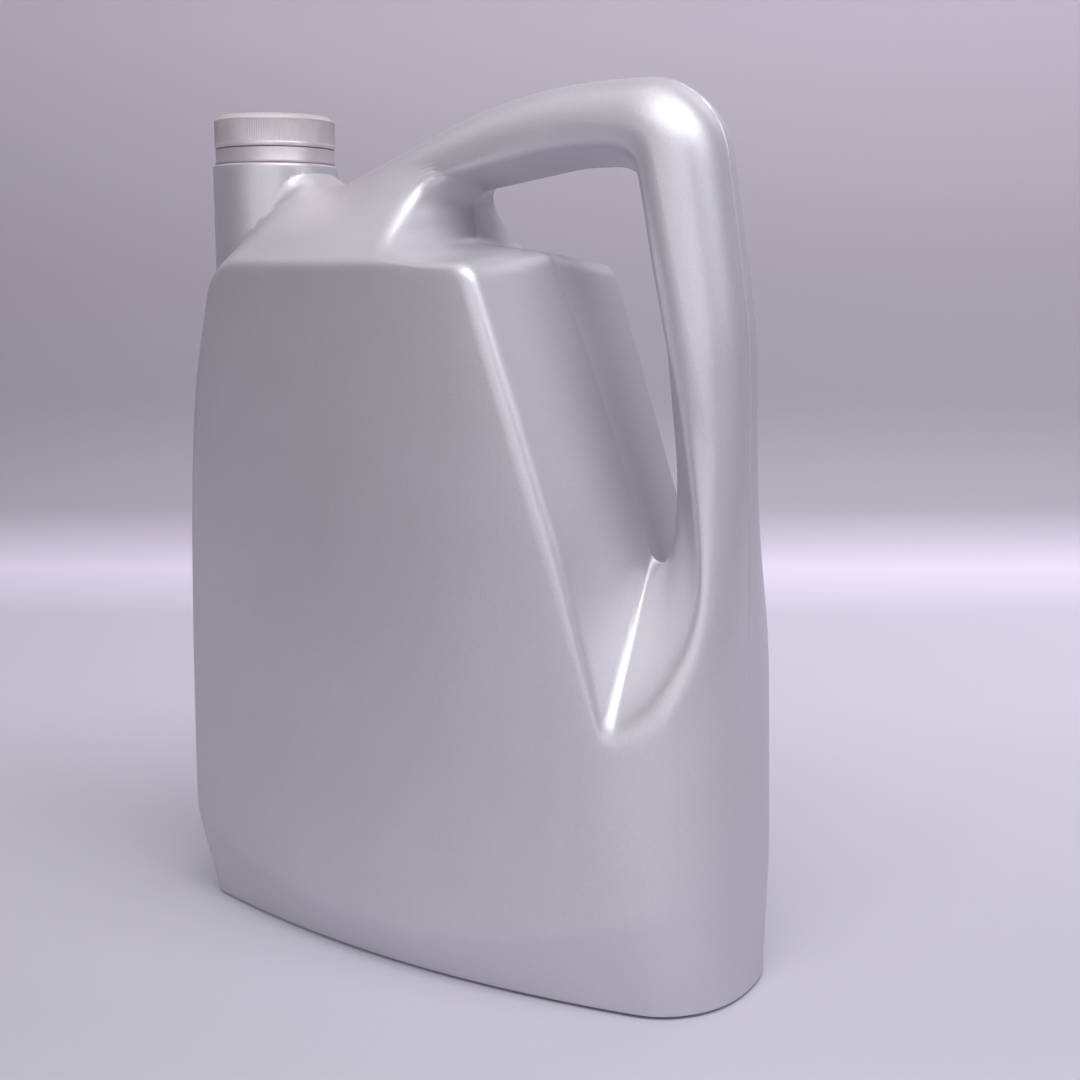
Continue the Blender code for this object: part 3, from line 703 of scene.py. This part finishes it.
def bottle_skin(plastic):
    """The body: both halves with the base, the neck on them, and the room inside cut out."""
    ring = FOOT_EDGE + RING_WIDTH
    # Inset and height, from the foot's edge under it, over the standing ring, to the push-up.
    steps = ((0.1 * MM, 1.3 * MM), (0.4 * MM, 1.15 * MM), (5.6 * MM, 1.05 * MM),
             (6.1 * MM, 0.1 * MM), (6.3 * MM, 0.0), (ring - 0.5 * MM, 0.0),
             (ring + 0.5 * MM, 0.4 * MM), (ring + PUSH_UP - 0.5 * MM, PUSH_UP - 0.4 * MM),
             (ring + PUSH_UP + 1.0 * MM, PUSH_UP))
    body = add_object("bottle_skin", closed_body(SPOKES, RINGS, steps, fine=True), plastic)
    bead = FINISH_RADIUS + BEAD_HEIGHT
    bead_top = BAND_FOOT + BAND_HEIGHT + 0.6 * MM
    edge = 1.2 * MM                # rounding of the column's top
    column = [(0.0, COLUMN_FOOT)]
    column += [(COLUMN_RADIUS, COLUMN_FOOT + (COLUMN_TOP - edge - COLUMN_FOOT) * k / 40)
               for k in range(41)]
    column += [(COLUMN_RADIUS - edge * (1 - math.cos(a)), COLUMN_TOP - edge * (1 - math.sin(a)))
               for a in (0.4, 0.8, 1.2, math.pi / 2)]
    column += [(FINISH_RADIUS + 0.5 * MM, COLUMN_TOP), (FINISH_RADIUS, COLUMN_TOP + 0.5 * MM),
               (FINISH_RADIUS, bead_top - 3.2 * MM), (bead, bead_top - 2.4 * MM),
               (bead, bead_top - 1.6 * MM), (FINISH_RADIUS, bead_top),
               (FINISH_RADIUS, LIP_TOP - 0.7 * MM), (FINISH_RADIUS - 0.2 * MM, LIP_TOP - 0.2 * MM),
               (FINISH_RADIUS - 0.7 * MM, LIP_TOP), (0.0, LIP_TOP)]
    combine(body, add_object("neck", revolve(column, ROUND_SEGMENTS), plastic), "UNION")
    ridge = thread_ridge(FINISH_RADIUS - 0.4 * MM, FINISH_RADIUS + THREAD_HEIGHT,
                         THREAD_START, THREAD_TURNS)
    combine(body, add_object("ridge", ridge, plastic), "UNION")
    room = closed_body(ROOM_SPOKES, ROOM_RINGS, ((ring + PUSH_UP, PUSH_UP),))
    room.normal_update()
    moves = [v.normal * (-WALL * v.calc_shell_factor()) for v in room.verts]
    for v, move in zip(room.verts, moves):
        v.co += move
    room = add_object("room", room, plastic)
    inside = COLUMN_RADIUS - WALL
    bore = revolve([
        (0.0, COLUMN_FOOT - 2.0 * MM), (inside, COLUMN_FOOT - 2.0 * MM),
        (inside, COLUMN_TOP - WALL - 1.5 * MM), (BORE_RADIUS, COLUMN_TOP - WALL),
        (BORE_RADIUS, LIP_TOP - 0.4 * MM), (BORE_RADIUS + 0.4 * MM, LIP_TOP),
        (BORE_RADIUS + 0.4 * MM, LIP_TOP + 5.0 * MM), (0.0, LIP_TOP + 5.0 * MM)], 96,
        turned=1.0 / 3.0)
    combine(room, add_object("bore", bore, plastic), "UNION")
    combine(body, room, "DIFFERENCE")
    return body


def band_skin(plastic):
    """Tamper band with a shallow groove round it; its ledge reaches in under the bead."""
    z = BAND_FOOT - 0.22 * MM
    top = BAND_FOOT + BAND_HEIGHT + 0.1 * MM
    inner = BAND_RADIUS - BAND_WALL
    ledge = FINISH_RADIUS + SEAT_GAP
    r = BAND_RADIUS
    band = revolve([
        (ledge, z), (r - 0.45 * MM, z), (r - 0.12 * MM, z + 0.12 * MM), (r, z + 0.45 * MM),
        (r, z + 0.9 * MM), (r - 0.18 * MM, z + 1.2 * MM), (r - 0.18 * MM, top - 0.5 * MM),
        (r - 0.3 * MM, top - 0.15 * MM), (r - 0.6 * MM, top), (inner, top),
        (inner, z + 2.2 * MM), (ledge, z + 1.4 * MM)], ROUND_SEGMENTS)
    return add_object("band_skin", band, plastic)


def cap_skin(plastic):
    """Cap with fine upright ribs between a bead at its foot and a bevelled top."""
    z = CAP_FOOT
    top = z + CAP_HEIGHT
    r = CAP_RADIUS
    rib_top = top - CAP_CHAMFER - 0.6 * MM
    outside = [
        (0.0, top - 0.15 * MM), (r - CAP_CHAMFER - 4.0 * MM, top - 0.15 * MM),
        (r - CAP_CHAMFER - 2.6 * MM, top - 0.05 * MM), (r - CAP_CHAMFER - 1.2 * MM, top),
        (r - CAP_CHAMFER - 0.3 * MM, top - 0.05 * MM),
        (r - CAP_CHAMFER + 0.2 * MM, top - 0.3 * MM),
        (r - 0.5 * MM, rib_top + 1.05 * MM), (r - 0.3 * MM, rib_top + 0.85 * MM),
        (r - 0.03 * MM, rib_top + 0.6 * MM), (r, rib_top + 0.35 * MM),
        (r - 0.1 * MM, rib_top + 0.1 * MM)]
    ribs = [(r - 0.1 * MM, rib_top), (r - 0.05 * MM, z + 2.0 * MM)]
    foot = [(r - 0.15 * MM, z + 1.75 * MM), (r - 0.05 * MM, z + 1.5 * MM), (r, z + 1.2 * MM),
            (r, z + 0.7 * MM), (r - 0.1 * MM, z + 0.35 * MM), (r - 0.35 * MM, z + 0.08 * MM),
            (r - 0.7 * MM, z), (CAP_INNER + 0.3 * MM, z), (CAP_INNER, z + 0.3 * MM),
            (CAP_INNER, CAP_CEILING), (0.0, CAP_CEILING)]
    ribbed = (len(outside), len(outside) + 1)
    form = revolve(outside + ribs + foot, SEGMENTS_PER_RIB * CAP_RIBS, ribbed)
    cap = add_object("cap_skin", form, plastic)
    ridge = thread_ridge(CAP_INNER + 0.4 * MM, CAP_INNER - THREAD_HEIGHT,
                         THREAD_START + PITCH / 2.0, THREAD_TURNS - 0.25)
    combine(cap, add_object("cap_ridge", ridge, plastic), "UNION")
    return cap


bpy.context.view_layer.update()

silver = silver_plastic("silver_body", (0.615, 0.595, 0.655), (0.57, 0.55, 0.60))
cap_silver = silver_plastic("silver_cap", (0.70, 0.645, 0.68), (0.64, 0.59, 0.62),
                            grain=0.7, roughness=0.32, metallic=0.35)
band_silver = silver_plastic("silver_band", (0.55, 0.50, 0.55), (0.50, 0.45, 0.50),
                             grain=0.8, roughness=0.40, metallic=0.35)

body = bottle_skin(silver)
band = band_skin(band_silver)
cap = cap_skin(cap_silver)
for piece, node, rides, slot in ((body, "bottle_body", "bottle", "silver_plastic"),
                                 (band, "tamper_band", "bottle", "band_plastic"),
                                 (cap, "cap", "cap", "cap_plastic")):
    piece.data.shade_smooth()
    piece.data.set_sharp_from_angle(angle=SHARP_ANGLE)
    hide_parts(node)
    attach(piece, rides)

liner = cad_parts["cap_liner"]
liner.data.materials.clear()
liner.data.materials.append(foam())

# ---- Camera, at the photograph's viewing angle

AZIMUTH = math.radians(31.8)
IMAGE_WIDTH = 1080.0           # pixels of the photograph
FOCAL_LENGTH = 1550.0          # in those pixels
PITCH_DOWN = math.atan2(260.0, FOCAL_LENGTH)
CAMERA_PLACE = (0.3272, -0.4784, 0.250)
SENSOR_WIDTH = 36.0
right = Vector((math.cos(AZIMUTH), math.sin(AZIMUTH), 0.0))
forward = Vector((-math.sin(AZIMUTH) * math.cos(PITCH_DOWN),
                  math.cos(AZIMUTH) * math.cos(PITCH_DOWN), -math.sin(PITCH_DOWN)))
up = right.cross(forward)
lens = bpy.data.cameras.new("camera")
lens.sensor_width = SENSOR_WIDTH
lens.lens = SENSOR_WIDTH * FOCAL_LENGTH / IMAGE_WIDTH
lens.clip_start = 0.01
lens.clip_end = 20.0
camera = bpy.data.objects.new("camera", lens)
camera.matrix_world = Matrix((
    (right.x, up.x, -forward.x, CAMERA_PLACE[0]), (right.y, up.y, -forward.y, CAMERA_PLACE[1]),
    (right.z, up.z, -forward.z, CAMERA_PLACE[2]), (0.0, 0.0, 0.0, 1.0)))
bpy.context.scene.collection.objects.link(camera)
bpy.context.scene.camera = camera

# ---- Floor and backdrop: one sweep, square to the camera's heading, with painted light and shade


BEND_START = 1.15              # from the camera's foot, along the floor
BEND_RADIUS = 0.16
PAINTED_LIGHT_SPAN = 0.45               # painted light and shade change this far to each side of the camera's heading, lighter to the right


def sweep():
    """Paper sweep with painted light: its albedo is painted lighter and darker, and a painted glow
    adds light.
    """
    level = Vector((forward.x, forward.y, 0.0)).normalized()
    start = Vector((camera.location.x, camera.location.y, 0.0))
    curve = [(-1.2, 0.0), (0.2, 0.0), (0.8, 0.0), (BEND_START, 0.0)]
    curve += [(BEND_START + BEND_RADIUS * math.sin(a), BEND_RADIUS * (1.0 - math.cos(a)))
              for a in np.linspace(0.15, math.pi / 2, 14)]
    curve += [(BEND_START + BEND_RADIUS, z) for z in (0.6, 1.2, 2.2)]
    bm = bmesh.new()
    rows = []
    for along, z in curve:
        rows.append([bm.verts.new(start + level * along + right * across + Vector((0, 0, z)))
                     for across in (-2.4, -1.2, 0.0, 1.2, 2.4)])
    for a, b in zip(rows[:-1], rows[1:]):
        for i in range(4):
            bm.faces.new((a[i], a[i + 1], b[i + 1], b[i]))
    n = Nodes("lilac_paper_painted_light")

    def along(direction, offset=0.0):
        made = n.node("ShaderNodeVectorMath")
        made.operation = "DOT_PRODUCT"
        n.link(n.place, made.inputs[0])
        made.inputs[1].default_value = direction
        return n.math("ADD", made.outputs["Value"], offset)

    def painted_light_ramp(fac, stops):
        """Colour ramp of painted light and shade over a path of 2 m; the stops are (metres,
        colour).
        """
        made = n.tree.nodes.new("ShaderNodeValToRGB")
        n.link(n.ramp(fac, 0.0, 2.0, 0.0, 1.0), made.inputs["Fac"])
        for k, (at, colour) in enumerate(stops):
            stop = made.color_ramp.elements[k] if k < 2 else made.color_ramp.elements.new(at / 2.0)
            stop.position = at / 2.0
            stop.color = (*colour, 1.0)
        return made.outputs["Color"]

    def scaled(colour, factor):
        made = n.node("ShaderNodeVectorMath")
        made.operation = "SCALE"
        n.link(colour, made.inputs[0])
        n.link(factor, made.inputs["Scale"])
        return made.outputs[0]

    # Distance from the camera along the floor, and on up the backdrop.
    path = along(Vector((level.x, level.y, 1.0)), -level.dot(start))
    side = along(right, -right.dot(start))
    # Painted light and shade in the paper's albedo: a little darker on the floor behind the
    # bottle, a painted bright band in the bend, much darker where the bend rises into the
    # backdrop, lighter again higher up, and lighter to the right.
    paper_and_painted_light = painted_light_ramp(path, (
        (0.0, (0.585, 0.57, 0.665)), (0.50, (0.585, 0.57, 0.665)), (0.62, (0.55, 0.535, 0.61)),
        (1.15, (0.56, 0.54, 0.61)), (1.25, (0.62, 0.59, 0.69)),
        (1.34, (0.37, 0.355, 0.41)), (1.46, (0.33, 0.31, 0.365)), (1.60, (0.37, 0.345, 0.40)),
        (1.76, (0.42, 0.39, 0.46))))
    # Painted glow: emission that brightens the floor behind the bottle, most in the bend, less up
    # the backdrop, and more to the right. It is painted light, seen by camera, glossy and
    # transmission rays, so the bottle's reflections show it as well.
    painted_glow = painted_light_ramp(path, (
        (0.0, (0.0, 0.0, 0.0)), (0.50, (0.0, 0.0, 0.0)), (0.62, (0.08, 0.077, 0.10)),
        (0.90, (0.23, 0.22, 0.27)), (1.16, (0.28, 0.265, 0.33)), (1.25, (0.37, 0.335, 0.44)),
        (1.34, (0.16, 0.148, 0.18)), (1.46, (0.115, 0.106, 0.128)), (1.56, (0.105, 0.097, 0.115)),
        (1.76, (0.15, 0.138, 0.168))))
    # Only camera, glossy and transmission rays see the painted glow.
    rays = n.node("ShaderNodeLightPath")
    painted_glow_rays = n.math("MAXIMUM", rays.outputs["Is Camera Ray"], rays.outputs["Is Glossy Ray"])
    painted_glow_rays = n.math("MAXIMUM", painted_glow_rays, rays.outputs["Is Transmission Ray"])
    fibre = n.noise(900.0, 3.0)
    n.set(Base_Color=scaled(paper_and_painted_light, n.ramp(side, -PAINTED_LIGHT_SPAN, PAINTED_LIGHT_SPAN, 0.94, 1.10)),
          Roughness=0.62,
          Emission_Color=scaled(painted_glow, n.ramp(side, -PAINTED_LIGHT_SPAN, PAINTED_LIGHT_SPAN, 0.85, 1.15)),
          Emission_Strength=painted_glow_rays, Normal=n.bump(fibre, 0.0001, 0.2))
    obj = add_object("paper_sweep", bm, n.mat)
    obj.data.shade_smooth()


sweep()

# ---- Lamps

WARM = (1.0, 0.985, 0.97)
COOL = (0.965, 0.96, 1.0)
BLUE = (0.90, 0.93, 1.0)
AIM = Vector((0.0, 0.0, 0.15))


def area_lamp(name, place, width, height, power, colour):
    """Rectangular lamp of so many metres and watts that points at the bottle's middle."""
    lamp = bpy.data.lights.new(name, "AREA")
    lamp.shape = "RECTANGLE"
    lamp.size = width
    lamp.size_y = height
    lamp.energy = power
    lamp.color = colour
    obj = bpy.data.objects.new(name, lamp)
    obj.location = place
    obj.rotation_euler = (AIM - Vector(place)).to_track_quat("-Z", "Y").to_euler()
    bpy.context.scene.collection.objects.link(obj)


for name, place, width, height, power, colour in (
        ("overhead", (0.05, -0.05, 1.30), 0.7, 0.7, 1.8, WARM),
        ("high_right", (0.55, -0.25, 1.10), 0.7, 0.7, 6.4, WARM),
        ("front_high", (0.25, -0.75, 1.10), 0.7, 0.6, 4.4, WARM),
        ("right_side", (1.00, -0.10, 0.85), 0.7, 0.7, 2.4, BLUE),
        ("front", (0.00, -1.30, 0.35), 0.8, 0.6, 1.7, WARM),
        ("front_right", (0.75, -1.15, 0.45), 0.7, 0.7, 2.2, COOL),
        ("high_left", (-0.65, -0.20, 1.10), 0.7, 0.7, 0.9, COOL),
        ("back_high", (0.22, 0.80, 0.95), 0.6, 0.5, 1.0, COOL)):
    area_lamp(name, place, width, height, power, colour)

world = bpy.data.worlds.new("room")
bpy.context.scene.world = world
world.use_nodes = True
ambient = world.node_tree.nodes["Background"]
ambient.inputs["Color"].default_value = (0.62, 0.60, 0.68, 1.0)
ambient.inputs["Strength"].default_value = 0.03

bpy.context.scene.view_settings.view_transform = "Standard"
